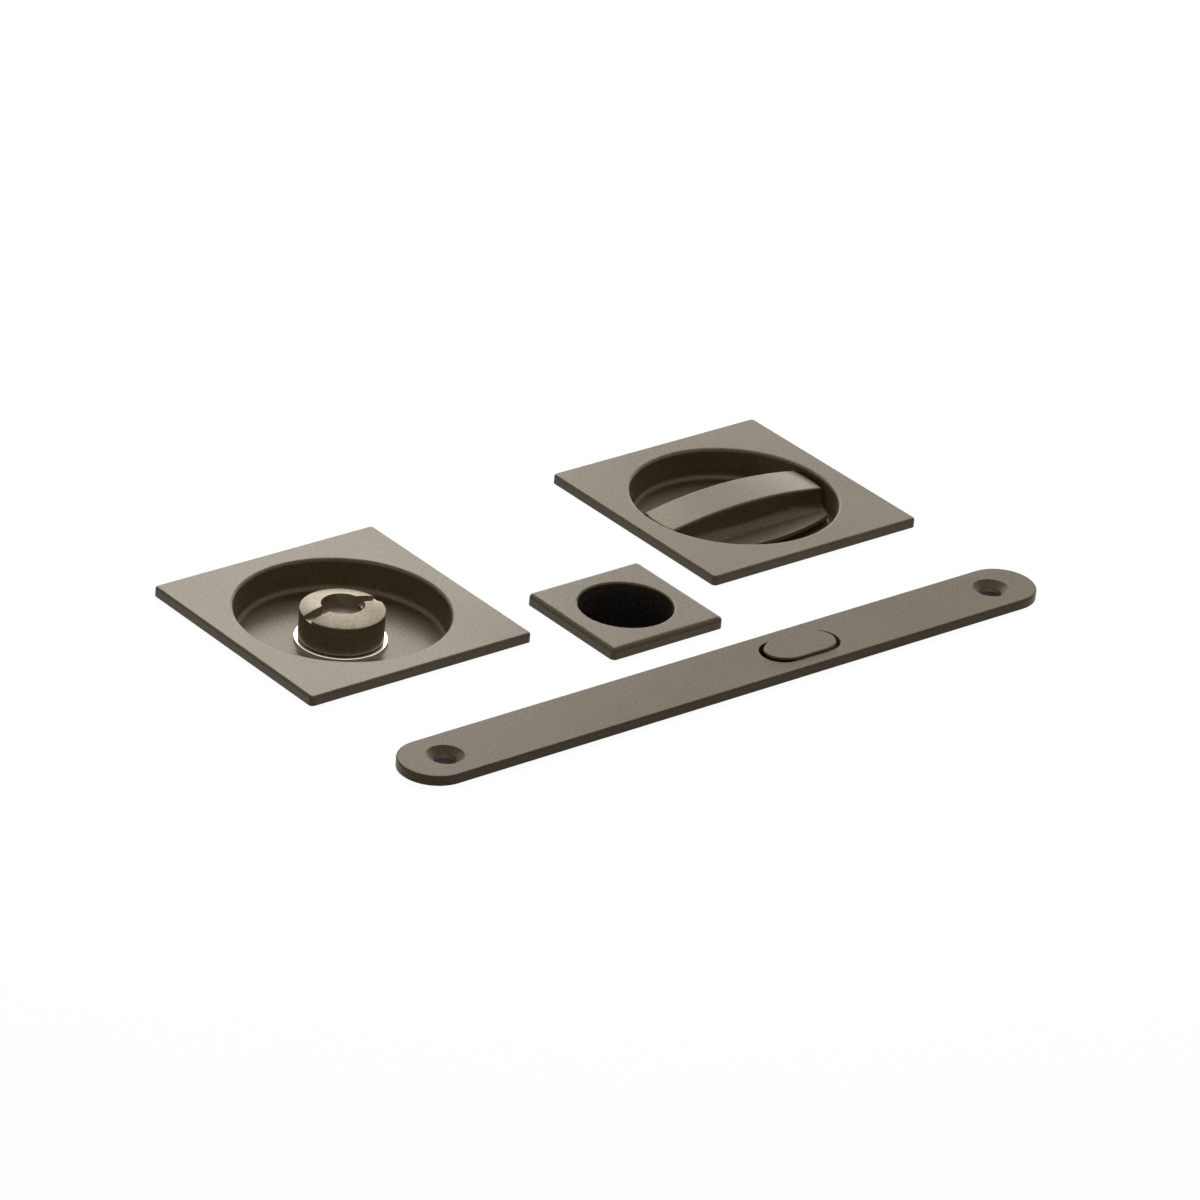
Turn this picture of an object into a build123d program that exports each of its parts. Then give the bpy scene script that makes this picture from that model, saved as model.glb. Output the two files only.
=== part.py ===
from build123d import *
import os
from math import acos, cos, pi, radians, sin, sqrt, tan

# Flush sliding door pull set in millimetres, +Z out of the door.
# The door face and the door edge both lie at z = 0: plates stand proud of it, cups and lock reach below.
# The origin is the middle of the two screw holes of the lock's face plate, +X along that plate.

# Where the four items lie
RELEASE_AT = (-57.2, 64.8)
TURN_AT = (55.2, 65.4)
EDGE_AT = (-1.4, 34.2)

# Clearances
SEAT_GAP = 0.02
RUN_GAP = 0.05
FACE_GAP = 0.3
SLIDE_GAP = 0.15

# Square pull plates with their cups
PLATE_SIDE = 60.0
PLATE_T = 2.3
PLATE_CORNER = 1.0
PLATE_EDGE = 0.6
CUP_R = 24.2
CUP_WALL = 1.6
CUP_FLOOR_Z = -5.3
CUP_FLOOR_T = 2.2
CUP_RIM = 0.8
CUP_FILLET = 1.5
COLLAR_WALL = 3.4
COLLAR_T = 2.2
FIX_OFFSET = 17.5

# Countersunk screw holes in the turn cup's floor
FLOOR_HOLE_R = 2.2
FLOOR_CSK_R = 3.7

# Threaded posts behind the release cup
POST_R = 4.0
POST_LEN = 11.0
POST_THREAD_R = 1.65
POST_THREAD_LEN = 9.5

# Bearing bush of each cup
BUSH_WALL = 1.5
BUSH_FLANGE_R = 10.6
BUSH_FLANGE_T = 0.7

# Shank under each knob
SHANK_R = 5.0
SHANK_END_Z = -15.8
SOCKET_DEPTH = 9.0
SOCKET_SIDE = 6.1
CLIP_T = 1.0
CLIP_GROOVE_DEPTH = 0.8
CLIP_WALL = 1.9
CLIP_GAP_DEG = 50.0
WASHER_T = 0.4
WASHER_R = 8.2
WASHER_BOW_R = 34.0

# Release knob
RELEASE_R = 9.65
RELEASE_EDGE_Z = 2.4
RELEASE_CROWN_R = 29.0
RELEASE_EDGE = 0.25
COIN_SLOT_W = 2.9
COIN_SLOT_Z = 1.8
DISH_R = 5.0
DISH_FLOOR_R = 4.5
DISH_Z = 1.0

# Thumb turn
TURN_R = 22.8
TURN_SKIRT_T = 1.0
TURN_SKIRT_HALF = 13.6
TURN_SKIRT_BOW_R = 63.0
TURN_BAR_HALF = 6.2
TURN_BAR_BOW_R = 625.0
TURN_BAR_DRAFT = 7.0
TURN_TOP_Z = 3.15
TURN_ARCH_R = 122.0
TURN_SCOOP_R = 2.5
TURN_EDGE = 0.5

# Square spindle and its set screw
SPINDLE_SIDE = 6.0
SPINDLE_END_Z = -60.0
SPINDLE_POINT = 0.8
SPINDLE_NICK = 0.5
SPINDLE_NICK_PITCH = 8.0
SPINDLE_NICKS = 4
GRUB_R = 1.5
GRUB_KEY = 1.5
GRUB_KEY_DEPTH = 0.9

# Edge pull
BEZEL_SIDE = 31.3
BEZEL_T = 2.8
BEZEL_CORNER = 1.15
BEZEL_EDGE = 1.1
BEZEL_BORE_R = 10.8
BEZEL_RIM = 0.5
EDGE_CUP_WALL = 1.3
EDGE_FLANGE_W = 1.3
EDGE_FLANGE_T = 0.7
EDGE_CUP_DEPTH = 10.2
EDGE_CUP_FLOOR_T = 1.3
EDGE_CUP_FILLET = 2.5
EDGE_RIBS = 8
EDGE_RIB_R = 0.7

# Face plate of the lock
FACE_LEN = 176.5
FACE_W = 16.8
FACE_T = 2.25
FACE_EDGE = 0.45
SCREW_FROM_END = 11.05
SCREW_HOLE_R = 2.5
SCREW_CSK_R = 4.2
SCREW_CSK_DEPTH = 1.3

# Steel forend under the face plate
FOREND_LEN = 174.0
FOREND_W = 14.5
FOREND_T = 1.5

# Lock case
CASE_WALL = 1.5
CASE_INSIDE = 11.5
CASE_LEFT = -30.0
CASE_RIGHT = 36.0
CASE_BOTTOM = -64.5
CASE_CORNER = 2.0
EAR_LEN = 8.5
EAR_DEPTH = 8.0
BOSS_R = 3.2
BOSS_IN_WALL = 0.7
SCREW_R = 1.5
SCREW_HEAD_R = 2.8
SCREW_LEN = 7.5
DRIVE_R = 1.0
DRIVE_DEPTH = 0.8

# Hook bolt and its toothed quadrant
PIVOT_Z = -10.0
PIVOT_R = 3.0
HOOK_BOSS_R = 6.3
HOOK_START = 10.9
HOOK_FACE_LEN = 19.0
HOOK_THICK = 9.5
HOOK_PROUD = 0.55
HOOK_SWING = 45.0
HOOK_BLANK_DEG = 60.0
HOOK_HEEL_DEG = -50.0
HOOK_FACE_EDGE = 0.35
NOTCH_R = 23.0
NOTCH_FROM_DEG = -15.0
NOTCH_TO_DEG = 22.0
NOTCH_CORNER = 2.0
WINDOW_START = 10.5
WINDOW_END = 31.2
WINDOW_W = 10.1
WINDOW_EASE_X = 1.1
WINDOW_EASE_Y = 0.3
WEB_T = 5.0
WEB_SPREAD_DEG = 30.0
HUB_WAY_DEG = -90.0

# Gear teeth between hub and hook
MODULE = 1.25
HUB_TEETH = 20
HOOK_TEETH = 40
QUADRANT_TEETH = 9
PRESSURE_DEG = 20.0
BACKLASH = 0.1
DEDENDUM = 1.25 * MODULE
TOOTH_FOOT = 0.3
FLANK_STEPS = 4

# Hub
HUB_JOURNAL_R = 7.5
HUB_COLLAR_R = 8.95
HUB_FLAT = 8.6
HUB_SQUARE = 6.2
DETENT_T = 0.5
DETENT_W = 2.4
DETENT_SPAN = 28.0
DETENT_BEND = 1.5

# Sizes that follow from the ones above
CUP_BACK_Z = CUP_FLOOR_Z - CUP_FLOOR_T
COLLAR_Z = CUP_BACK_Z - COLLAR_T
BUSH_BORE_R = SHANK_R + RUN_GAP
BUSH_R = BUSH_BORE_R + BUSH_WALL
BUSH_TOP_Z = CUP_FLOOR_Z + BUSH_FLANGE_T
KNOB_BASE_Z = BUSH_TOP_Z + FACE_GAP
CLIP_R = SHANK_R - CLIP_GROOVE_DEPTH
WASHER_BOW = WASHER_BOW_R - sqrt(WASHER_BOW_R**2 - WASHER_R**2)
CLIP_TOP_Z = COLLAR_Z - SLIDE_GAP - WASHER_T - WASHER_BOW - SLIDE_GAP
SCREW_PITCH = FACE_LEN - 2 * SCREW_FROM_END
CASE_TOP = -FOREND_T
INNER_TOP = CASE_TOP - CASE_WALL
HALF_CASE = CASE_INSIDE / 2
CASE_BACK = HALF_CASE + CASE_WALL
HUB_R = MODULE * HUB_TEETH / 2
QUADRANT_R = MODULE * HOOK_TEETH / 2
HUB_Z = PIVOT_Z - HUB_R - QUADRANT_R
HOOK_FACE_Z = FACE_T + HOOK_PROUD
HOOK_RISE = HOOK_FACE_Z - PIVOT_Z
HOOK_R_IN = sqrt(HOOK_START**2 + HOOK_RISE**2)
HOOK_R_OUT = sqrt((HOOK_START + HOOK_FACE_LEN)**2 + HOOK_RISE**2)
FOREND_SCREW_X = (CASE_LEFT - CASE_WALL - EAR_LEN / 2, CASE_RIGHT + CASE_WALL + EAR_LEN / 2)
BOSS_INSET = BOSS_R - BOSS_IN_WALL
COVER_SCREWS = (
    (CASE_LEFT + BOSS_INSET, INNER_TOP - BOSS_INSET),
    (CASE_LEFT + BOSS_INSET, CASE_BOTTOM + BOSS_INSET),
    (CASE_RIGHT - BOSS_INSET, CASE_BOTTOM + BOSS_INSET),
)


ON_FOOT = (Align.CENTER, Align.CENTER, Align.MIN)


def rod(radius, low, high, at=(0, 0)):
    """A round bar along Z between two heights."""
    return Pos(at[0], at[1], low) * Cylinder(radius, high - low, align=ON_FOOT)


def taper(low_r, high_r, low, high, at=(0, 0)):
    """A cone along Z from one radius to another."""
    return Pos(at[0], at[1], low) * Cone(low_r, high_r, high - low, align=ON_FOOT)


def slab(sketch, low, high):
    """A flat sketch raised between two heights."""
    return extrude(Pos(0, 0, low) * sketch, high - low)


def square_bar(side, low, high):
    """A square bar along Z between two heights."""
    return slab(Rectangle(side, side), low, high)


def side_disc(radius, near, far, x, z):
    """A round bar along Y, from y = near to y = far."""
    turned = Rot(-90, 0, 0) * rod(radius, near, far)
    return Pos(x, 0, z) * turned


def side_plate(sketch, near, far):
    """A sketch drawn in x and z, made solid from y = near to y = far."""
    return extrude(Pos(0, near, 0) * (Plane.XZ * sketch), -(far - near))


def box_between(x0, x1, y0, y1, z0, z1):
    """A block given by its six limits."""
    middle = Pos((x0 + x1) / 2, (y0 + y1) / 2, (z0 + z1) / 2)
    return middle * Box(x1 - x0, y1 - y0, z1 - z0)


def circles_at(solid, radius, z):
    """The round edges of a solid that have this radius and height."""
    found = []
    for edge in solid.edges().filter_by(GeomType.CIRCLE):
        if abs(edge.radius - radius) < 0.01 and abs(edge.arc_center.Z - z) < 0.01:
            found.append(edge)
    return found


def edges_at(solid, z):
    """The edges of a solid that lie flat at one height."""
    found = []
    for edge in solid.edges():
        span = edge.bounding_box()
        if abs(span.min.Z - z) < 0.01 and abs(span.max.Z - z) < 0.01:
            found.append(edge)
    return found


def polar(radius, angle_deg):
    """A point at a radius and an angle."""
    return (radius * cos(radians(angle_deg)), radius * sin(radians(angle_deg)))


# The two pull plates

def cup_casting():
    """Square plate and round cup cast in one, open to the front."""
    plate = slab(RectangleRounded(PLATE_SIDE, PLATE_SIDE, PLATE_CORNER), 0, PLATE_T)
    plate = fillet(edges_at(plate, PLATE_T), PLATE_EDGE)
    body = plate + rod(CUP_R + CUP_WALL, CUP_BACK_Z, PLATE_T / 2)
    body += rod(BUSH_R + COLLAR_WALL, COLLAR_Z, CUP_BACK_Z)
    body -= rod(CUP_R, CUP_FLOOR_Z, PLATE_T)
    body = fillet(circles_at(body, CUP_R, CUP_FLOOR_Z), CUP_FILLET)
    body = fillet(circles_at(body, CUP_R, PLATE_T), CUP_RIM)
    body = fillet(circles_at(body, CUP_R + CUP_WALL, CUP_BACK_Z), CUP_FILLET)
    body -= rod(BUSH_R + SEAT_GAP, COLLAR_Z, CUP_FLOOR_Z)
    return body


def turn_cup():
    """Cup of the turn side: two countersunk holes, which the bar covers, take the through screws."""
    body = cup_casting()
    for side in (-1, 1):
        spot = (side * FIX_OFFSET, 0)
        body -= rod(FLOOR_HOLE_R, CUP_BACK_Z, CUP_FLOOR_Z, spot)
        depth = FLOOR_CSK_R - FLOOR_HOLE_R
        body -= taper(FLOOR_HOLE_R, FLOOR_CSK_R, CUP_FLOOR_Z - depth, CUP_FLOOR_Z, spot)
    return body


def release_cup():
    """Cup of the release side: two threaded posts behind the floor take the through screws."""
    body = cup_casting()
    for side in (-1, 1):
        spot = (side * FIX_OFFSET, 0)
        end = CUP_BACK_Z - POST_LEN
        body += rod(POST_R, end, CUP_BACK_Z, spot)
        body -= rod(POST_THREAD_R, end, end + POST_THREAD_LEN, spot)
    return body


def bush():
    """Flanged bearing bush, pressed into the cup's floor from the front."""
    body = rod(BUSH_R, COLLAR_Z, CUP_FLOOR_Z) + rod(BUSH_FLANGE_R, CUP_FLOOR_Z, BUSH_TOP_Z)
    body = fillet(circles_at(body, BUSH_FLANGE_R, BUSH_TOP_Z), BUSH_FLANGE_T / 3)
    return body - rod(BUSH_BORE_R, COLLAR_Z, BUSH_TOP_Z)


def shank():
    """Round shank with a square socket and a groove for the retaining clip."""
    body = rod(SHANK_R, SHANK_END_Z, KNOB_BASE_Z)
    low = CLIP_TOP_Z - CLIP_T - SLIDE_GAP
    groove = rod(SHANK_R, low, CLIP_TOP_Z) - rod(CLIP_R, low, CLIP_TOP_Z)
    return body - groove


def socket():
    """The space for the square spindle, open at the shank's end."""
    return square_bar(SOCKET_SIDE, SHANK_END_Z, SHANK_END_Z + SOCKET_DEPTH)


def retaining_clip():
    """Spring clip with a mouth, in the shank's groove."""
    outer = CLIP_R + SEAT_GAP + CLIP_WALL
    ring = Circle(outer) - Circle(CLIP_R + SEAT_GAP)
    reach = 2 * outer
    mouth = Polygon((0, 0), polar(reach, CLIP_GAP_DEG / 2), polar(reach, -CLIP_GAP_DEG / 2), align=None)
    return slab(ring - mouth, CLIP_TOP_Z - CLIP_T, CLIP_TOP_Z)


def bowed_washer():
    """Washer bent round one axis, which springs between the cup's collar and the clip."""
    low = CLIP_TOP_Z + SEAT_GAP
    top = low + WASHER_T + WASHER_BOW
    ring = slab(Circle(WASHER_R) - Circle(SHANK_R + FACE_GAP), low, top)
    lie = Pos(0, 0, top - WASHER_BOW_R) * Rot(90, 0, 0)
    shell = Cylinder(WASHER_BOW_R, 4 * WASHER_R) - Cylinder(WASHER_BOW_R - WASHER_T, 4 * WASHER_R)
    return ring & (lie * shell)


def release_knob():
    """Crowned round knob with a coin slot and a round dish across it."""
    edge_rise = RELEASE_CROWN_R - sqrt(RELEASE_CROWN_R**2 - RELEASE_R**2)
    crown_z = RELEASE_EDGE_Z + edge_rise
    head = rod(RELEASE_R, KNOB_BASE_Z, crown_z + 1)
    head &= Pos(0, 0, crown_z - RELEASE_CROWN_R) * Sphere(RELEASE_CROWN_R)
    head = fillet(circles_at(head, RELEASE_R, RELEASE_EDGE_Z), RELEASE_EDGE)
    slot_half = COIN_SLOT_W / 2
    head -= box_between(-2 * RELEASE_R, 2 * RELEASE_R, -slot_half, slot_half, COIN_SLOT_Z, crown_z + 1)
    flare = (DISH_R - DISH_FLOOR_R) / (crown_z - DISH_Z)
    head -= taper(DISH_FLOOR_R, DISH_R + flare, DISH_Z, crown_z + 1)
    return head + shank() - socket()


def lens(half_width, bow_radius):
    """A long outline between two shallow arcs."""
    shift = bow_radius - half_width
    return (Pos(0, -shift) * Circle(bow_radius)) & (Pos(0, shift) * Circle(bow_radius))


def turn_knob():
    """Thumb turn: an arched bar that fills the cup from wall to wall, with a scoop on each side."""
    skirt_z = KNOB_BASE_Z + TURN_SKIRT_T
    skirt = slab(lens(TURN_SKIRT_HALF, TURN_SKIRT_BOW_R), KNOB_BASE_Z, skirt_z)
    foot = Pos(0, 0, skirt_z) * lens(TURN_BAR_HALF, TURN_BAR_BOW_R)
    bar = extrude(foot, TURN_TOP_Z - skirt_z, taper=TURN_BAR_DRAFT)
    head = (skirt + bar) & rod(TURN_R, KNOB_BASE_Z, TURN_TOP_Z)
    roots = []
    for edge in edges_at(head, skirt_z):
        middle = edge.position_at(0.5)
        if abs(abs(middle.Y) - TURN_BAR_HALF) < 0.05:
            roots.append(edge)
    head = fillet(roots, TURN_SCOOP_R)
    arch = Pos(0, 0, TURN_TOP_Z - TURN_ARCH_R) * Rot(90, 0, 0) * Cylinder(TURN_ARCH_R, 2 * TURN_R)
    head &= arch
    crown = head.faces().sort_by(Axis.Z)[-1]
    head = fillet(crown.edges(), TURN_EDGE)
    body = head + shank() - socket()
    return body - grub_hole()


def grub_z():
    """Height of the set screw in the shank."""
    return (SHANK_END_Z + CLIP_TOP_Z - CLIP_T) / 2


def grub_hole():
    """Cross hole for the set screw, from the shank's side into the socket."""
    bar = Rot(0, 90, 0) * rod(GRUB_R + SEAT_GAP, 0, SHANK_R + 1)
    return Pos(0, 0, grub_z()) * bar


def grub_screw():
    """Set screw that holds the spindle in the shank."""
    tip = SPINDLE_SIDE / 2 + SEAT_GAP
    body = rod(GRUB_R, tip, SHANK_R - SEAT_GAP)
    key = slab(RegularPolygon(GRUB_KEY / 2, 6), SHANK_R - GRUB_KEY_DEPTH, SHANK_R)
    return Pos(0, 0, grub_z()) * Rot(0, 90, 0) * (body - key)


def spindle():
    """Square spindle with a pointed end and nicks where it breaks to length."""
    top = SHANK_END_Z + SOCKET_DEPTH - FACE_GAP
    body = square_bar(SPINDLE_SIDE, SPINDLE_END_Z, top)
    body = chamfer(edges_at(body, SPINDLE_END_Z), SPINDLE_POINT)
    for index in range(SPINDLE_NICKS):
        z = SPINDLE_END_Z + SPINDLE_NICK_PITCH * (index + 1)
        for side in (-1, 1):
            notch = Rot(0, 45, 0) * Box(SPINDLE_NICK, 2 * SPINDLE_SIDE, SPINDLE_NICK)
            body -= Pos(side * SPINDLE_SIDE / 2, 0, z) * notch
    return body


# The edge pull

def edge_bezel():
    """Square frame of the edge pull, with a round mouth."""
    body = slab(RectangleRounded(BEZEL_SIDE, BEZEL_SIDE, BEZEL_CORNER), 0, BEZEL_T)
    body = fillet(edges_at(body, BEZEL_T), BEZEL_EDGE)
    body -= rod(BEZEL_BORE_R, 0, BEZEL_T)
    body = fillet(circles_at(body, BEZEL_BORE_R, BEZEL_T), BEZEL_RIM)
    return body - rod(edge_flange_r() + SEAT_GAP, 0, EDGE_FLANGE_T + SEAT_GAP)


def edge_flange_r():
    """Radius of the plastic cup's flange, let into the back of the frame."""
    return BEZEL_BORE_R + EDGE_CUP_WALL + EDGE_FLANGE_W


def edge_cup():
    """Plastic cup behind the frame, with ribs that grip the bored hole."""
    outer = BEZEL_BORE_R + EDGE_CUP_WALL
    floor = -EDGE_CUP_DEPTH
    body = rod(outer, floor - EDGE_CUP_FLOOR_T, EDGE_FLANGE_T) + rod(edge_flange_r(), 0, EDGE_FLANGE_T)
    for index in range(EDGE_RIBS):
        spot = polar(outer, 360 / EDGE_RIBS * index)
        body += rod(EDGE_RIB_R, floor, 0, spot)
    body = fillet(circles_at(body, outer, floor - EDGE_CUP_FLOOR_T), EDGE_CUP_FLOOR_T / 2)
    body -= rod(BEZEL_BORE_R, floor, EDGE_FLANGE_T)
    return fillet(circles_at(body, BEZEL_BORE_R, floor), EDGE_CUP_FILLET)


# The lock behind the face plate

def window(ease_x, ease_y):
    """The slot that the hook swings through, longer and wider at each side by the ease."""
    length = WINDOW_END - WINDOW_START + 2 * ease_x
    return Pos((WINDOW_START + WINDOW_END) / 2, 0) * SlotOverall(length, WINDOW_W + 2 * ease_y)


def face_plate():
    """Thin face plate with round ends, two countersunk holes and the hook's window."""
    body = slab(SlotOverall(FACE_LEN, FACE_W), 0, FACE_T)
    body = fillet(edges_at(body, FACE_T), FACE_EDGE)
    body -= slab(window(0, 0), 0, FACE_T)
    for side in (-1, 1):
        spot = (side * SCREW_PITCH / 2, 0)
        body -= rod(SCREW_HOLE_R, 0, FACE_T, spot)
        body -= taper(SCREW_HOLE_R, SCREW_CSK_R, FACE_T - SCREW_CSK_DEPTH, FACE_T, spot)
    return body


def inner_forend():
    """Plain steel forend under the face plate, screwed to the case."""
    body = slab(SlotOverall(FOREND_LEN, FOREND_W), CASE_TOP, 0)
    body -= slab(window(WINDOW_EASE_X, WINDOW_EASE_Y), CASE_TOP, 0)
    for side in (-1, 1):
        body -= rod(SCREW_HOLE_R, CASE_TOP, 0, (side * SCREW_PITCH / 2, 0))
    for x in FOREND_SCREW_X:
        body -= countersink(SEAT_GAP, (x, 0))
    return body


def countersink(ease, at=(0, 0)):
    """Space of one small countersunk screw with its head flush at z = 0."""
    head = taper(SCREW_R + ease, SCREW_HEAD_R + ease, SCREW_R - SCREW_HEAD_R, 0, at)
    return head + rod(SCREW_R + ease, -SCREW_LEN, 0, at)


def small_screw():
    """One small countersunk screw, head flush at z = 0."""
    drive = slab(RegularPolygon(DRIVE_R, 6), -DRIVE_DEPTH, 0)
    return countersink(0) - drive


def forend_screws():
    """The two screws that hold the forend on the case."""
    return [Pos(x, 0, 0) * small_screw() for x in FOREND_SCREW_X]


def cover_screw_place(spot):
    """Place of a case screw, its head flush with the cover's outside."""
    return Pos(spot[0], CASE_BACK, spot[1]) * Rot(-90, 0, 0)


def case_screws():
    """The screws that hold the cover on the case."""
    return [cover_screw_place(spot) * small_screw() for spot in COVER_SCREWS]


def case_outline(inset):
    """Side outline of the case in x and z, smaller all round by the inset."""
    left = CASE_LEFT - CASE_WALL + inset
    right = CASE_RIGHT + CASE_WALL - inset
    low = CASE_BOTTOM - CASE_WALL + inset
    high = CASE_TOP - inset
    middle = Pos((left + right) / 2, (low + high) / 2)
    return middle * RectangleRounded(right - left, high - low, CASE_CORNER)


def lock_case():
    """Cast case: a tray, open to the cover's side, with ears for the forend and bosses for the cover."""
    body = side_plate(case_outline(0), -CASE_BACK, HALF_CASE)
    body -= side_plate(case_outline(CASE_WALL), -HALF_CASE, HALF_CASE)
    for x in FOREND_SCREW_X:
        half = EAR_LEN / 2 + CASE_WALL
        ear = box_between(x - half, x + half, -HALF_CASE, HALF_CASE, CASE_TOP - EAR_DEPTH, CASE_TOP)
        body += ear - inside_case()
        body -= rod(SCREW_R + SEAT_GAP, -SCREW_LEN - SEAT_GAP, CASE_TOP, (x, 0))
    for spot in COVER_SCREWS:
        body += side_disc(BOSS_R, -HALF_CASE, HALF_CASE, spot[0], spot[1])
    for spot in COVER_SCREWS:
        body -= cover_screw_place(spot) * rod(SCREW_R + SEAT_GAP, -SCREW_LEN - SEAT_GAP, 0)
    body -= slab(window(WINDOW_EASE_X, WINDOW_EASE_Y), INNER_TOP, CASE_TOP)
    body -= side_disc(PIVOT_R + SEAT_GAP, -CASE_BACK, -HALF_CASE, 0, PIVOT_Z)
    body -= side_disc(HUB_JOURNAL_R + RUN_GAP, -CASE_BACK, -HALF_CASE, 0, HUB_Z)
    return body


def inside_case():
    """The space inside the case."""
    return side_plate(case_outline(CASE_WALL), -HALF_CASE, HALF_CASE)


def case_cover():
    """Flat cover of the lock case."""
    body = side_plate(case_outline(0), HALF_CASE, CASE_BACK)
    body -= side_disc(PIVOT_R + SEAT_GAP, HALF_CASE, CASE_BACK, 0, PIVOT_Z)
    body -= side_disc(HUB_JOURNAL_R + RUN_GAP, HALF_CASE, CASE_BACK, 0, HUB_Z)
    for spot in COVER_SCREWS:
        body -= cover_screw_place(spot) * countersink(SEAT_GAP)
    return body


def pivot_pin():
    """Pin that the hook swings on, held in the case and its cover."""
    return side_disc(PIVOT_R, -CASE_BACK, CASE_BACK, 0, PIVOT_Z)


def involute(angle):
    """Involute function of an angle in radians."""
    return tan(angle) - angle


def tooth(teeth):
    """One gear tooth on the +X axis, with involute flanks and its foot inside the gear's body."""
    pitch_r = MODULE * teeth / 2
    base_r = pitch_r * cos(radians(PRESSURE_DEG))
    tip_r = pitch_r + MODULE
    foot_r = pitch_r - DEDENDUM - TOOTH_FOOT
    start_r = max(base_r, pitch_r - DEDENDUM)
    half_pitch = pi / (2 * teeth) - BACKLASH / (2 * pitch_r) + involute(radians(PRESSURE_DEG))
    flank = []
    for index in range(FLANK_STEPS + 1):
        radius = start_r + (tip_r - start_r) * index / FLANK_STEPS
        turn = half_pitch - involute(acos(min(1.0, base_r / radius)))
        flank.append((radius * cos(turn), radius * sin(turn)))
    mirror = [(x, -y) for x, y in flank]
    foot_turn = half_pitch - involute(acos(min(1.0, base_r / start_r)))
    foot = (foot_r * cos(foot_turn), foot_r * sin(foot_turn))
    foot_mirror = (foot[0], -foot[1])
    outline = Line(foot, flank[0]) + Spline(*flank) + ThreePointArc(flank[-1], (tip_r, 0), mirror[-1])
    outline += Spline(*mirror) + Line(mirror[0], foot_mirror) + Line(foot_mirror, foot)
    return make_face(outline)


def toothed(disc, teeth, centres_deg):
    """A flat disc with teeth added at the given angles."""
    for angle in centres_deg:
        disc += Rot(0, 0, angle) * tooth(teeth)
    return disc


def quadrant():
    """Flat outline of the hook's web and toothed quadrant, drawn round its pivot in x and z."""
    root_r = QUADRANT_R - DEDENDUM
    pitch = 360 / HOOK_TEETH
    first = HUB_WAY_DEG + 1.5 * pitch
    centres = [first - pitch * index for index in range(QUADRANT_TEETH)]
    reach = 2 * root_r
    wedge = Polygon(
        (0, 0),
        polar(reach, centres[-1] - pitch / 2),
        polar(reach, HUB_WAY_DEG - WEB_SPREAD_DEG),
        polar(reach, HUB_WAY_DEG + WEB_SPREAD_DEG),
        polar(reach, HOOK_HEEL_DEG / 2),
        align=None,
    )
    web = Circle(root_r) & wedge
    limit = INNER_TOP - PIVOT_Z - FACE_GAP
    shift = limit + reach
    lean = -HUB_WAY_DEG - HOOK_SWING
    web -= Pos(*polar(shift, lean)) * Rot(0, 0, lean) * Rectangle(2 * reach, 4 * reach)
    return toothed(web, HOOK_TEETH, centres)


def hook_bolt():
    """Swinging hook: a curved claw with a rounded section, a boss on the pivot and a toothed quadrant."""
    mid_r = (HOOK_R_IN + HOOK_R_OUT) / 2
    section = Pos(mid_r, 0) * SlotOverall(HOOK_R_OUT - HOOK_R_IN, HOOK_THICK)
    section = Pos(0, 0, PIVOT_Z) * Rot(0, -HOOK_BLANK_DEG, 0) * section
    axis = Axis((0, 0, PIVOT_Z), (0, 1, 0))
    claw = revolve(section, axis, HOOK_BLANK_DEG - HOOK_HEEL_DEG)
    far = 2 * HOOK_R_OUT
    claw -= box_between(-far, far, -far, far, HOOK_FACE_Z, far)
    claw = fillet(edges_at(claw, HOOK_FACE_Z), HOOK_FACE_EDGE)
    notch = Polygon(
        polar(HOOK_R_IN / 2, NOTCH_TO_DEG),
        polar(NOTCH_R, NOTCH_TO_DEG),
        polar(NOTCH_R, NOTCH_FROM_DEG),
        polar(HOOK_R_IN / 2, NOTCH_FROM_DEG),
        align=None,
    )
    deep = notch.vertices().sort_by(Axis.X)[-2:]
    notch = fillet(deep, NOTCH_CORNER)
    claw -= Pos(0, 0, PIVOT_Z) * side_plate(notch, -HOOK_THICK, HOOK_THICK)
    web = Pos(0, 0, PIVOT_Z) * side_plate(quadrant(), -WEB_T / 2, WEB_T / 2)
    boss_half = HALF_CASE - SLIDE_GAP
    boss = side_disc(HOOK_BOSS_R, -boss_half, boss_half, 0, PIVOT_Z)
    return claw + web + boss - side_disc(PIVOT_R + RUN_GAP, -CASE_BACK, CASE_BACK, 0, PIVOT_Z)


def lock_hub():
    """Toothed hub with a square hole for the spindle and a four-sided cam for the detent spring."""
    root_r = HUB_R - DEDENDUM
    pitch = 360 / HUB_TEETH
    centres = [pitch * index - HUB_WAY_DEG for index in range(HUB_TEETH)]
    gear = toothed(Circle(root_r), HUB_TEETH, centres)
    body = Pos(0, 0, HUB_Z) * side_plate(gear, -WEB_T / 2, WEB_T / 2)
    thrust = HALF_CASE - SLIDE_GAP
    body += side_disc(HUB_COLLAR_R, -thrust, 0, 0, HUB_Z)
    cam = Circle(HUB_COLLAR_R) & Rectangle(2 * HUB_FLAT, 2 * HUB_FLAT)
    body += Pos(0, 0, HUB_Z) * side_plate(cam, 0, thrust)
    body += side_disc(HUB_JOURNAL_R, -CASE_BACK, CASE_BACK, 0, HUB_Z)
    return body - Pos(0, 0, HUB_Z) * side_plate(Rectangle(HUB_SQUARE, HUB_SQUARE), -CASE_BACK, CASE_BACK)


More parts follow.
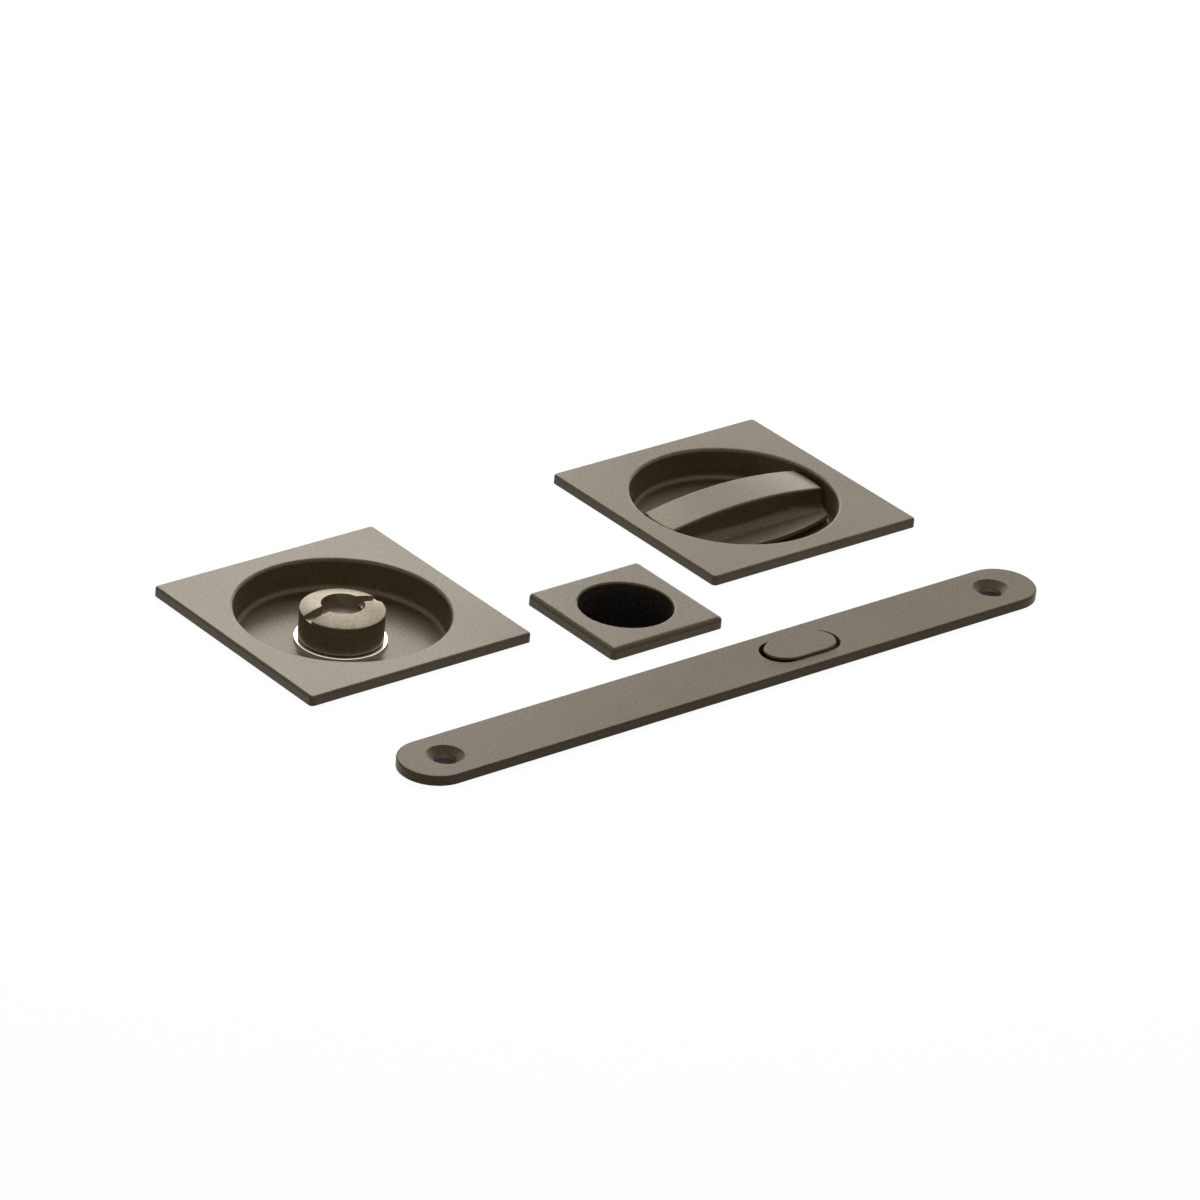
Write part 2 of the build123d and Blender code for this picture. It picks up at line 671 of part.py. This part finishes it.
def detent_spring():
    """Flat spring bridge that bears on the hub's cam and stands on the case's lower wall."""
    top = HUB_Z - HUB_COLLAR_R - RUN_GAP
    height = top - CASE_BOTTOM - SEAT_GAP
    middle = (0, (top + CASE_BOTTOM + SEAT_GAP) / 2)
    arch = RectangleRounded(DETENT_SPAN, 2 * height, DETENT_BEND + DETENT_T)
    arch -= RectangleRounded(DETENT_SPAN - 2 * DETENT_T, 2 * height - 2 * DETENT_T, DETENT_BEND)
    arch = Pos(0, middle[1] - height / 2) * arch
    arch &= Pos(*middle) * Rectangle(2 * DETENT_SPAN, height)
    near = WEB_T / 2 + FACE_GAP
    return side_plate(arch, near, near + DETENT_W)


def place(piece, at):
    """Moves a piece, or a group of like pieces, to its item's place."""
    group = piece if isinstance(piece, list) else [piece]
    moved = [Pos(at[0], at[1], 0) * solid for solid in group]
    return moved[0] if len(moved) == 1 else Compound(children=moved)


HERE = (0, 0)
NODES = {
    "turn_cup": (turn_cup, TURN_AT),
    "turn_bush": (bush, TURN_AT),
    "turn_knob": (turn_knob, TURN_AT),
    "turn_spindle": (spindle, TURN_AT),
    "turn_grub_screw": (grub_screw, TURN_AT),
    "turn_spring_washer": (bowed_washer, TURN_AT),
    "turn_retaining_clip": (retaining_clip, TURN_AT),
    "release_cup": (release_cup, RELEASE_AT),
    "release_bush": (bush, RELEASE_AT),
    "release_knob": (release_knob, RELEASE_AT),
    "release_spring_washer": (bowed_washer, RELEASE_AT),
    "release_retaining_clip": (retaining_clip, RELEASE_AT),
    "edge_bezel": (edge_bezel, EDGE_AT),
    "edge_cup": (edge_cup, EDGE_AT),
    "face_plate": (face_plate, HERE),
    "inner_forend": (inner_forend, HERE),
    "forend_screws": (forend_screws, HERE),
    "lock_case": (lock_case, HERE),
    "case_cover": (case_cover, HERE),
    "case_screws": (case_screws, HERE),
    "hook_bolt": (hook_bolt, HERE),
    "hook_pivot_pin": (pivot_pin, HERE),
    "lock_hub": (lock_hub, HERE),
    "detent_spring": (detent_spring, HERE),
}


def main():
    os.makedirs("parts", exist_ok=True)
    for name, (make, at) in NODES.items():
        export_step(place(make(), at), "parts/" + name + ".step")


main()
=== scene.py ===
"""Finishes and studio for a flush sliding door pull set."""

import math

import bpy
from bpy.props import FloatProperty, FloatVectorProperty, PointerProperty
from bpy.types import Operator, Panel, PropertyGroup
from mathutils import Matrix, Vector

bl_info = {
    "name": "Flush Sliding Door Pull Set",
    "version": (1, 0, 0),
    "blender": (4, 5, 0),
    "location": "3D View > Sidebar > Pull Set",
    "description": "Dresses the flush pulls, edge pull and hook lock of a sliding door",
    "category": "Object",
}

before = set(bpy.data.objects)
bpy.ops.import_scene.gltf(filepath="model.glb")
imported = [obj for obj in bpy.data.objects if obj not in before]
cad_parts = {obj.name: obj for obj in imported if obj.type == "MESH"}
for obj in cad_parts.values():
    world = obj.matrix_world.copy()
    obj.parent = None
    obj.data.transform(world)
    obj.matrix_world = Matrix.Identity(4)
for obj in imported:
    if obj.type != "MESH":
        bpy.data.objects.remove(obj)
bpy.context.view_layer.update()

MM = 0.001
WHITE = (1.0, 1.0, 1.0, 1.0)


# Pieces by finish

PULL_NODES = ("turn_cup", "turn_knob", "release_cup", "edge_bezel")
KNOB_NODES = ("release_knob",)
STRIP_NODES = ("face_plate", "hook_bolt")
BRIGHT_STEEL_NODES = (
    "turn_spindle",
    "turn_grub_screw",
    "turn_spring_washer",
    "turn_retaining_clip",
    "release_spring_washer",
    "release_retaining_clip",
    "forend_screws",
    "case_screws",
    "hook_pivot_pin",
    "lock_hub",
    "detent_spring",
)
DULL_STEEL_NODES = ("lock_case", "case_cover")
DARK_STEEL_NODES = ("inner_forend",)
RING_NODES = ("turn_bush", "release_bush")
PLASTIC_NODES = ("edge_cup",)


# Colours 0 to 255 as on screen, in pairs from dark to light

BRIGHT_STEEL = ((172, 174, 176), (192, 192, 190))
DULL_STEEL = ((150, 153, 157), (172, 173, 174))
BLACKENED_STEEL = ((38, 38, 41), (56, 56, 60))
POLISHED_STEEL = (244, 243, 240)
BLACK_PLASTIC = ((12, 10, 7), (112, 102, 90))
# Painted shade: the dark glow that stands in for the shade seen through the holes
PAINTED_SHADE_COLOUR = (30, 30, 32)

# The coat's darkest and lightest grain as shares of its colour, and what makes up the grain

COAT_DARK = 0.68
COAT_LIGHT = 1.32
GRAIN_SHARE = 0.8
CLOUD_SHARE = 0.2

# How far the coat's roughness goes up and down, the tint of its gloss, and the gloss of
# blackened steel and of plastic

ROUGHNESS_SWING = 0.05
WARM_GLOSS = (1.0, 0.88, 0.62, 1.0)
LOW_GLOSS = 0.3

# Stretches of a noise that a full range is drawn from

WIDE_SPAN = (0.3, 0.7)
GRAIN_SPAN = (0.32, 0.68)
CLOUD_SPAN = (0.35, 0.65)
PIT_SPAN = (0.48, 0.72)


class Sock:
    """A shader socket that takes part in Python arithmetic."""

    def __init__(self, graph, socket):
        self.graph = graph
        self.socket = socket

    def _math(self, operation, first, second):
        return self.graph.node("ShaderNodeMath", {"operation": operation}, {0: first, 1: second})

    def __add__(self, other):
        return self._math("ADD", self, other)

    def __radd__(self, other):
        return self._math("ADD", other, self)

    def __mul__(self, other):
        return self._math("MULTIPLY", self, other)

    def __rmul__(self, other):
        return self._math("MULTIPLY", other, self)

    def at_most(self, limit):
        """The value, held down to a limit."""
        return self._math("MINIMUM", self, limit)


class Graph:
    """The node tree of one material or world."""

    def __init__(self, tree):
        self.tree = tree
        tree.nodes.clear()

    def node(self, kind, settings=None, inputs=None, out=0):
        """Adds a node, sets it up, feeds its sockets and returns one of its outputs."""
        made = self.tree.nodes.new(kind)
        for key, value in (settings or {}).items():
            setattr(made, key, value)
        for key, value in (inputs or {}).items():
            target = made.inputs[key]
            if isinstance(value, Sock):
                self.tree.links.new(value.socket, target)
            else:
                target.default_value = value
        return Sock(self, made.outputs[out]) if made.outputs else None

    def place(self, scale=(1, 1, 1)):
        """Object coordinates, stretched by a scale."""
        coords = self.node("ShaderNodeTexCoord", out="Object")
        return self.node("ShaderNodeMapping", None, {"Vector": coords, "Scale": scale})

    def noise(self, vector, per_mm, detail=2.0, roughness=0.5):
        """Noise from 0 to 1 with about this many blotches to a millimetre."""
        return self.node("ShaderNodeTexNoise", {"noise_dimensions": "3D"}, {
            "Vector": vector,
            "Scale": per_mm / MM,
            "Detail": detail,
            "Roughness": roughness,
        })

    def spread(self, value, span, onto=(0.0, 1.0)):
        """Carries a value from one range onto another and holds it there."""
        return self.node("ShaderNodeMapRange", {"clamp": True}, {
            "Value": value,
            "From Min": span[0],
            "From Max": span[1],
            "To Min": onto[0],
            "To Max": onto[1],
        })

    def blend(self, factor, first, second):
        """Mixes two linear colours."""
        colours = {0: factor, 6: first, 7: second}
        return self.node("ShaderNodeMix", {"data_type": "RGBA"}, colours, out=2)

    def blend_pair(self, factor, pair):
        """Mixes a pair of colours as on screen."""
        return self.blend(factor, linear(pair[0]), linear(pair[1]))

    def bump(self, height, distance_mm, strength):
        """A normal from a height field."""
        return self.node("ShaderNodeBump", None, {
            "Height": height,
            "Distance": distance_mm * MM,
            "Strength": strength,
        })

    def output(self, shader):
        """The material's output."""
        self.node("ShaderNodeOutputMaterial", None, {"Surface": shader})

    def surface(self, inputs):
        """The Principled surface and the material's output."""
        self.output(self.node("ShaderNodeBsdfPrincipled", None, inputs))

    def diffuse(self, grey):
        """A matt shader of one grey."""
        return self.node("ShaderNodeBsdfDiffuse", None, {"Color": (grey, grey, grey, 1.0)})

    def mix_shaders(self, factor, first, second):
        """The first shader at 0, the second at 1."""
        return self.node("ShaderNodeMixShader", None, {0: factor, 1: first, 2: second})

    def clear_from_behind(self, shader):
        """A shader that is clear when seen from the back of its face."""
        back = self.node("ShaderNodeNewGeometry", out="Backfacing")
        return self.mix_shaders(back, shader, self.node("ShaderNodeBsdfTransparent"))

    def seen_or_mirrored(self):
        """1 for rays from the camera and for mirrored or refracted ones, 0 for diffuse light."""
        camera = self.node("ShaderNodeLightPath", out="Is Camera Ray")
        mirrored = self.node("ShaderNodeLightPath", out="Is Glossy Ray")
        refracted = self.node("ShaderNodeLightPath", out="Is Transmission Ray")
        return (camera + mirrored + refracted).at_most(1.0)


def linear(colour):
    """A colour written 0 to 255 as on screen, in linear light with full alpha."""
    out = []
    for part in colour:
        share = part / 255
        out.append(share / 12.92 if share <= 0.04045 else ((share + 0.055) / 1.055) ** 2.4)
    return (*out, 1.0)


def shade(colour, factor):
    """A linear colour made lighter or darker, with full alpha."""
    return (*(part * factor for part in colour), 1.0)


def new_material(name):
    """A material and its empty graph."""
    material = bpy.data.materials.new(name)
    material.use_nodes = True
    return material, Graph(material.node_tree)


def satin_bronze(name, colour, metal, sheen, rough):
    """Fine-grained satin coat with more or less sheen."""
    material, g = new_material(name)
    place = g.place()
    grain = g.noise(place, per_mm=1.7, detail=3.0, roughness=0.65)
    cloud = g.noise(place, per_mm=0.045)
    speck = g.noise(place, per_mm=5.5, roughness=0.7)
    tone = GRAIN_SHARE * g.spread(grain, GRAIN_SPAN) + CLOUD_SHARE * g.spread(cloud, CLOUD_SPAN)
    rough_range = (rough - ROUGHNESS_SWING, rough + ROUGHNESS_SWING)
    g.surface({
        "Base Color": g.blend(tone, shade(colour, COAT_DARK), shade(colour, COAT_LIGHT)),
        "Metallic": metal,
        "Roughness": g.spread(speck, WIDE_SPAN, rough_range),
        "Specular IOR Level": sheen,
        "Specular Tint": WARM_GLOSS,
        "Normal": g.bump(grain, distance_mm=0.03, strength=0.5),
    })
    return material


def bright_steel():
    """Bright zinc-plated steel with a fine turned or drawn grain."""
    material, g = new_material("bright_steel")
    along_z = g.place(scale=(1.0, 1.0, 0.06))
    streak = g.noise(along_z, per_mm=2.4, detail=3.0, roughness=0.6)
    cloud = g.noise(g.place(), per_mm=0.12)
    g.surface({
        "Base Color": g.blend_pair(cloud, BRIGHT_STEEL),
        "Metallic": 1.0,
        "Roughness": g.spread(streak, WIDE_SPAN, (0.22, 0.36)),
        "Normal": g.bump(streak, distance_mm=0.01, strength=0.3),
    })
    return material


def dull_steel():
    """Dull plated steel with the soft mottling of the plating."""
    material, g = new_material("dull_steel")
    place = g.place()
    mottle = g.noise(place, per_mm=0.25, detail=4.0, roughness=0.65)
    fine = g.noise(place, per_mm=4.0)
    g.surface({
        "Base Color": g.blend_pair(g.spread(mottle, CLOUD_SPAN), DULL_STEEL),
        "Metallic": 1.0,
        "Roughness": g.spread(mottle, WIDE_SPAN, (0.40, 0.52)),
        "Normal": g.bump(fine, distance_mm=0.01, strength=0.35),
    })
    return material


def blackened_steel():
    """Blackened steel of the lock's inner plate, dark where the screw holes show it."""
    material, g = new_material("blackened_steel")
    mottle = g.noise(g.place(), per_mm=0.6, detail=3.0)
    g.surface({
        "Base Color": g.blend_pair(mottle, BLACKENED_STEEL),
        "Roughness": g.spread(mottle, WIDE_SPAN, (0.42, 0.55)),
        "Specular IOR Level": LOW_GLOSS,
    })
    return material


def polished_ring():
    """Polished steel of the ring at a knob's foot, with faint turning lines."""
    material, g = new_material("polished_ring")
    around_z = g.place(scale=(1.0, 1.0, 14.0))
    lines = g.noise(around_z, per_mm=1.2)
    g.surface({
        "Base Color": linear(POLISHED_STEEL),
        "Metallic": 1.0,
        "Roughness": g.spread(lines, WIDE_SPAN, (0.10, 0.18)),
    })
    return material


def textured_black():
    """Black plastic with a coarse sparked texture."""
    material, g = new_material("textured_black_plastic")
    place = g.place()
    pits = g.noise(place, per_mm=1.6, detail=3.0, roughness=0.7)
    fine = g.noise(place, per_mm=6.0)
    g.surface({
        "Base Color": g.blend_pair(g.spread(pits, PIT_SPAN), BLACK_PLASTIC),
        "Roughness": g.spread(fine, WIDE_SPAN, (0.55, 0.75)),
        "Specular IOR Level": LOW_GLOSS,
        "Normal": g.bump(pits, distance_mm=0.2, strength=0.9),
    })
    return material


def dress(nodes, material):
    """Gives each of the solid pieces its material."""
    for name in nodes:
        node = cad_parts[name]
        if not node.material_slots:
            raise RuntimeError("the node " + name + " has no material slot")
        for slot in node.material_slots:
            slot.material = material


# Camera, as solved from the photograph

CAMERA_AT = Vector((-829.9, -935.7, 661.5)) * MM
CAMERA_TO = Vector((-1.56, 43.02, 0.0)) * MM
CAMERA_ROLL = math.radians(4.86)
CAMERA_CLIP = (0.05, 20.0)
LENS_MM = 193.28
SENSOR_MM = 36.0

# Middles of the round items, and the sizes of the cut-outs below them

RELEASE_AT = (-57.2 * MM, 64.8 * MM)
TURN_AT = (55.2 * MM, 65.4 * MM)
EDGE_AT = (-1.4 * MM, 34.2 * MM)

FLOOR_DROP = 0.05 * MM
CUP_BORE_R = 26.5 * MM
EDGE_BORE_R = 13.6 * MM
MORTISE_LENGTH = 160 * MM
MORTISE_WIDTH = 14.9 * MM
MORTISE_END_R = MORTISE_WIDTH / 2 - 0.01 * MM
FLOOR_BORES = (
    (RELEASE_AT, CUP_BORE_R),
    (TURN_AT, CUP_BORE_R),
    (EDGE_AT, EDGE_BORE_R),
    ((-MORTISE_LENGTH / 2, 0.0), MORTISE_END_R),
    ((MORTISE_LENGTH / 2, 0.0), MORTISE_END_R),
)
BORE_SIDES = 96
CUT_DEPTH = 20 * MM
CUT_WALLS_BELOW = -1 * MM

# Discs of painted shade under the holes, standing in for the shade seen through them: name,
# middle, height and radius

SCREW_HOLE_X = 77.2 * MM
SCREW_SHADE_DISC_Z = -4 * MM
SCREW_SHADE_DISC_R = 16 * MM
CUP_SHADE_DISC_Z = -12 * MM
CUP_SHADE_DISC_R = 32 * MM
SHADE_DISCS_UNDER_HOLES = (
    ("screw_hole_left", (-SCREW_HOLE_X, 0.0), SCREW_SHADE_DISC_Z, SCREW_SHADE_DISC_R),
    ("screw_hole_right", (SCREW_HOLE_X, 0.0), SCREW_SHADE_DISC_Z, SCREW_SHADE_DISC_R),
    ("turn_cup_holes", TURN_AT, CUP_SHADE_DISC_Z, CUP_SHADE_DISC_R),
)
SHADE_DISC_SIDES = 32

# Softboxes in metres: the studio's value that holds the power, place, aim and size

SET_MIDDLE = (0.0, 0.03, 0.0)
LEFT_OF_MIDDLE = (-0.03, 0.05, 0.0)
RELEASE_MIDDLE = (-0.057, 0.065, 0.0)
SOFTBOXES = (
    ("back", (0.585, 0.69, 0.47), SET_MIDDLE, (0.9, 0.35)),
    ("high", (0.18, 0.33, 0.45), LEFT_OF_MIDDLE, (0.3, 0.25)),
    ("near", (0.14, 0.38, 0.21), RELEASE_MIDDLE, (0.18, 0.12)),
    ("low", (0.73, 0.81, 0.16), SET_MIDDLE, (0.9, 0.2)),
    ("under", (-0.3, -0.5, -0.9), SET_MIDDLE, (1.0, 1.0)),
)


def add_camera():
    """The camera at the photograph's place, with its small roll."""
    lens = bpy.data.cameras.new("photo_camera")
    lens.lens = LENS_MM
    lens.sensor_width = SENSOR_MM
    lens.sensor_fit = "HORIZONTAL"
    lens.clip_start, lens.clip_end = CAMERA_CLIP
    camera = bpy.data.objects.new("photo_camera", lens)
    bpy.context.scene.collection.objects.link(camera)
    back = (CAMERA_AT - CAMERA_TO).normalized()
    right = Vector((0, 0, 1)).cross(back).normalized()
    up = back.cross(right)
    turned_right = math.cos(CAMERA_ROLL) * right + math.sin(CAMERA_ROLL) * up
    turned_up = -math.sin(CAMERA_ROLL) * right + math.cos(CAMERA_ROLL) * up
    rotation = Matrix((turned_right, turned_up, back)).transposed().to_4x4()
    camera.matrix_world = Matrix.Translation(CAMERA_AT) @ rotation
    bpy.context.scene.camera = camera


def add_softbox(name, place, aim, size, power):
    """A rectangular soft lamp that faces a point and that the camera doesn't see."""
    lamp = bpy.data.lights.new(name, "AREA")
    lamp.shape = "RECTANGLE"
    lamp.size, lamp.size_y = size
    lamp.energy = power
    holder = bpy.data.objects.new(name, lamp)
    holder.visible_camera = False
    bpy.context.scene.collection.objects.link(holder)
    holder.location = place
    towards = Vector(aim) - Vector(place)
    holder.rotation_euler = towards.to_track_quat("-Z", "Y").to_euler()


def floor_material(studio):
    """Pale floor, clear from below: white with a faint shadow, and it throws little light back."""
    material, g = new_material("pale_floor")
    glow = g.node("ShaderNodeEmission", None, {"Color": WHITE, "Strength": studio.floor_glow})
    shown = g.node("ShaderNodeAddShader", None, {0: glow, 1: g.diffuse(studio.floor_shadow)})
    both = g.mix_shaders(g.seen_or_mirrored(), g.diffuse(studio.floor_bounce), shown)
    g.output(g.clear_from_behind(both))
    return material


def painted_shade_material():
    """Painted shade under a screw hole: a dark glow seen by the camera from above, clear to all
    other light.
    """
    material, g = new_material("dark_ground")
    dark = g.node("ShaderNodeEmission", None, {"Color": linear(PAINTED_SHADE_COLOUR), "Strength": 1.0})
    seen = g.node("ShaderNodeLightPath", out="Is Camera Ray")
    both = g.mix_shaders(seen, g.node("ShaderNodeBsdfTransparent"), dark)
    g.output(g.clear_from_behind(both))
    return material


def deselect():
    """Leaves nothing selected for the next operator to act on."""
    bpy.ops.object.select_all(action="DESELECT")


def cut(target, cutter):
    """Takes one piece out of a flat sheet and removes the walls that the cut leaves."""
    deselect()
    bpy.context.view_layer.objects.active = target
    target.select_set(True)
    bpy.ops.object.modifier_add(type="BOOLEAN")
    modifier = target.modifiers[-1]
    modifier.operation = "DIFFERENCE"
    modifier.solver = "EXACT"
    modifier.object = cutter
    bpy.ops.object.modifier_apply(modifier=modifier.name)
    bpy.data.objects.remove(cutter)
    bpy.ops.object.mode_set(mode="EDIT")
    bpy.ops.mesh.select_all(action="DESELECT")
    bpy.ops.object.mode_set(mode="OBJECT")
    for face in target.data.polygons:
        face.select = face.center.z < CUT_WALLS_BELOW
    bpy.ops.object.mode_set(mode="EDIT")
    bpy.ops.mesh.delete(type="FACE")
    bpy.ops.object.mode_set(mode="OBJECT")


def add_floor(studio):
    """Floor just under the plates, open where cups and lock reach below it."""
    deselect()
    bpy.ops.mesh.primitive_plane_add(size=studio.floor_side, location=(0, 0, -FLOOR_DROP))
    floor = bpy.context.object
    floor.name = "pale_floor"
    for middle, radius in FLOOR_BORES:
        deselect()
        bpy.ops.mesh.primitive_cylinder_add(
            vertices=BORE_SIDES, radius=radius, depth=CUT_DEPTH, location=(*middle, 0))
        cut(floor, bpy.context.object)
    deselect()
    bpy.ops.mesh.primitive_cube_add(size=1, scale=(MORTISE_LENGTH, MORTISE_WIDTH, CUT_DEPTH))
    cut(floor, bpy.context.object)
    floor.data.materials.append(floor_material(studio))


def add_shade_discs():
    """Discs of painted shade under the screw holes of the face plate and of the turn cup."""
    material = painted_shade_material()
    for name, middle, height, radius in SHADE_DISCS_UNDER_HOLES:
        deselect()
        bpy.ops.mesh.primitive_circle_add(
            vertices=SHADE_DISC_SIDES, radius=radius, fill_type="NGON", location=(*middle, height))
        hole_shade = bpy.context.object
        hole_shade.name = name + "_ground"
        hole_shade.data.materials.append(material)


def set_world(studio):
    """White to the eye and in mirrors, and a low even fill for diffuse light."""
    world = bpy.data.worlds.new("studio_air")
    world.use_nodes = True
    bpy.context.scene.world = world
    g = Graph(world.node_tree)
    white = g.node("ShaderNodeBackground", None, {"Color": WHITE, "Strength": 1.0})
    fill = g.node("ShaderNodeBackground", None, {"Color": WHITE, "Strength": studio.fill})
    both = g.mix_shaders(g.seen_or_mirrored(), fill, white)
    g.node("ShaderNodeOutputWorld", None, {"Surface": both})


class PullSetLook(PropertyGroup):
    """Colours and sheen of the bronze pieces"""

    bronze: FloatVectorProperty(
        name="Bronze", description="Colour of the satin coat",
        default=(0.30, 0.24, 0.165), min=0, max=1, size=3, subtype="COLOR")
    bronze_metal: FloatProperty(
        name="Metal share", description="How metallic the coat is",
        default=0.04, min=0, max=1, subtype="FACTOR")
    bronze_sheen: FloatProperty(
        name="Coat sheen", description="Specular level of the coat",
        default=0.36, min=0, max=1, subtype="FACTOR")
    bronze_rough: FloatProperty(
        name="Coat roughness", description="Mean roughness of the coat",
        default=0.32, min=0, max=1, subtype="FACTOR")
    knob: FloatVectorProperty(
        name="Knob", description="Colour of the release knob",
        default=(0.335, 0.29, 0.22), min=0, max=1, size=3, subtype="COLOR")
    knob_metal: FloatProperty(
        name="Knob metal share", description="How metallic the release knob is",
        default=0.35, min=0, max=1, subtype="FACTOR")
    strip_sheen: FloatProperty(
        name="Strip sheen", description="Specular level of the face plate and hook",
        default=0.22, min=0, max=1, subtype="FACTOR")
    strip_rough: FloatProperty(
        name="Strip roughness", description="Mean roughness of the face plate and hook",
        default=0.40, min=0, max=1, subtype="FACTOR")


class PullSetStudio(PropertyGroup):
    """Light levels and floor of the studio"""

    back: FloatProperty(
        name="Back light", description="Power of the wide softbox behind",
        default=0.8, min=0, unit="POWER")
    high: FloatProperty(
        name="High light", description="Power of the softbox above",
        default=0.58, min=0, unit="POWER")
    near: FloatProperty(
        name="Near light", description="Power of the small softbox close by",
        default=0.21, min=0, unit="POWER")
    low: FloatProperty(
        name="Low light", description="Power of the low softbox behind",
        default=1.5, min=0, unit="POWER")
    under: FloatProperty(
        name="Light from below", description="Power of the softbox under the floor",
        default=2.5, min=0, unit="POWER")
    fill: FloatProperty(
        name="Fill", description="Even light of the room",
        default=0.02, min=0, max=1, subtype="FACTOR")
    floor_glow: FloatProperty(
        name="Floor glow", description="White of the floor in shadow",
        default=0.95, min=0, max=1, subtype="FACTOR")
    floor_shadow: FloatProperty(
        name="Shadow", description="How much white the light adds to the floor",
        default=0.3, min=0, max=1, subtype="FACTOR")
    floor_bounce: FloatProperty(
        name="Bounce", description="Light that the floor throws back",
        default=0.05, min=0, max=1, subtype="FACTOR")
    floor_side: FloatProperty(
        name="Floor side", description="Length of the floor's side",
        default=6.0, min=1, unit="LENGTH")


class PULLSET_OT_bronze(Operator):
    """Coats the plates, cups, knobs, face plate and hook in satin bronze"""

    bl_idname = "pullset.bronze"
    bl_label = "Bronze pieces"

    def execute(self, context):
        look = context.scene.pullset_look
        colour, metal = look.bronze, look.bronze_metal
        sheen, rough = look.bronze_sheen, look.bronze_rough
        pull = satin_bronze("satin_bronze_pull", colour, metal, sheen, rough)
        knob = satin_bronze("satin_bronze_knob", look.knob, look.knob_metal, sheen, rough)
        strip = satin_bronze(
            "satin_bronze_strip", colour, metal, look.strip_sheen, look.strip_rough)
        dress(PULL_NODES, pull)
        dress(KNOB_NODES, knob)
        dress(STRIP_NODES, strip)
        return {"FINISHED"}


class PULLSET_OT_steel(Operator):
    """Plates the spindle, screws, clips, springs, hub and case, and finishes forend and rings"""

    bl_idname = "pullset.steel"
    bl_label = "Steel pieces"

    def execute(self, context):
        dress(BRIGHT_STEEL_NODES, bright_steel())
        dress(DULL_STEEL_NODES, dull_steel())
        dress(DARK_STEEL_NODES, blackened_steel())
        dress(RING_NODES, polished_ring())
        return {"FINISHED"}


class PULLSET_OT_plastic(Operator):
    """Gives the edge pull's cup its black textured plastic"""

    bl_idname = "pullset.plastic"
    bl_label = "Black plastic cup"

    def execute(self, context):
        dress(PLASTIC_NODES, textured_black())
        return {"FINISHED"}


class PULLSET_OT_stage(Operator):
    """Adds the pale floor, painted shade under the holes, the softboxes, the room's light and the
    camera
    """

    bl_idname = "pullset.stage"
    bl_label = "Stage"

    def execute(self, context):
        studio = context.scene.pullset_studio
        add_floor(studio)
        add_shade_discs()
        set_world(studio)
        for name, place, aim, size in SOFTBOXES:
            add_softbox(name + "_softbox", place, aim, size, getattr(studio, name))
        add_camera()
        context.scene.view_settings.view_transform = "Standard"
        return {"FINISHED"}


class PULLSET_PT_panel(Panel):
    """Lists the steps of the pull set and the values that a user may change"""

    bl_idname = "PULLSET_PT_panel"
    bl_label = "Pull Set"
    bl_space_type = "VIEW_3D"
    bl_region_type = "UI"
    bl_category = "Pull Set"

    def draw(self, context):
        column = self.layout.column()
        for operator in OPERATORS:
            column.operator(operator.bl_idname)
        for group in (context.scene.pullset_look, context.scene.pullset_studio):
            for name in group.bl_rna.properties.keys():
                if name not in ("rna_type", "name"):
                    column.prop(group, name)


OPERATORS = (PULLSET_OT_bronze, PULLSET_OT_steel, PULLSET_OT_plastic, PULLSET_OT_stage)
CLASSES = (PullSetLook, PullSetStudio, *OPERATORS, PULLSET_PT_panel)


def register():
    for cls in CLASSES:
        bpy.utils.register_class(cls)
    bpy.types.Scene.pullset_look = PointerProperty(type=PullSetLook)
    bpy.types.Scene.pullset_studio = PointerProperty(type=PullSetStudio)


def unregister():
    del bpy.types.Scene.pullset_studio
    del bpy.types.Scene.pullset_look
    for cls in reversed(CLASSES):
        bpy.utils.unregister_class(cls)


def main():
    register()
    bpy.ops.pullset.bronze()
    bpy.ops.pullset.steel()
    bpy.ops.pullset.plastic()
    bpy.ops.pullset.stage()


if __name__ == "__main__":
    main()
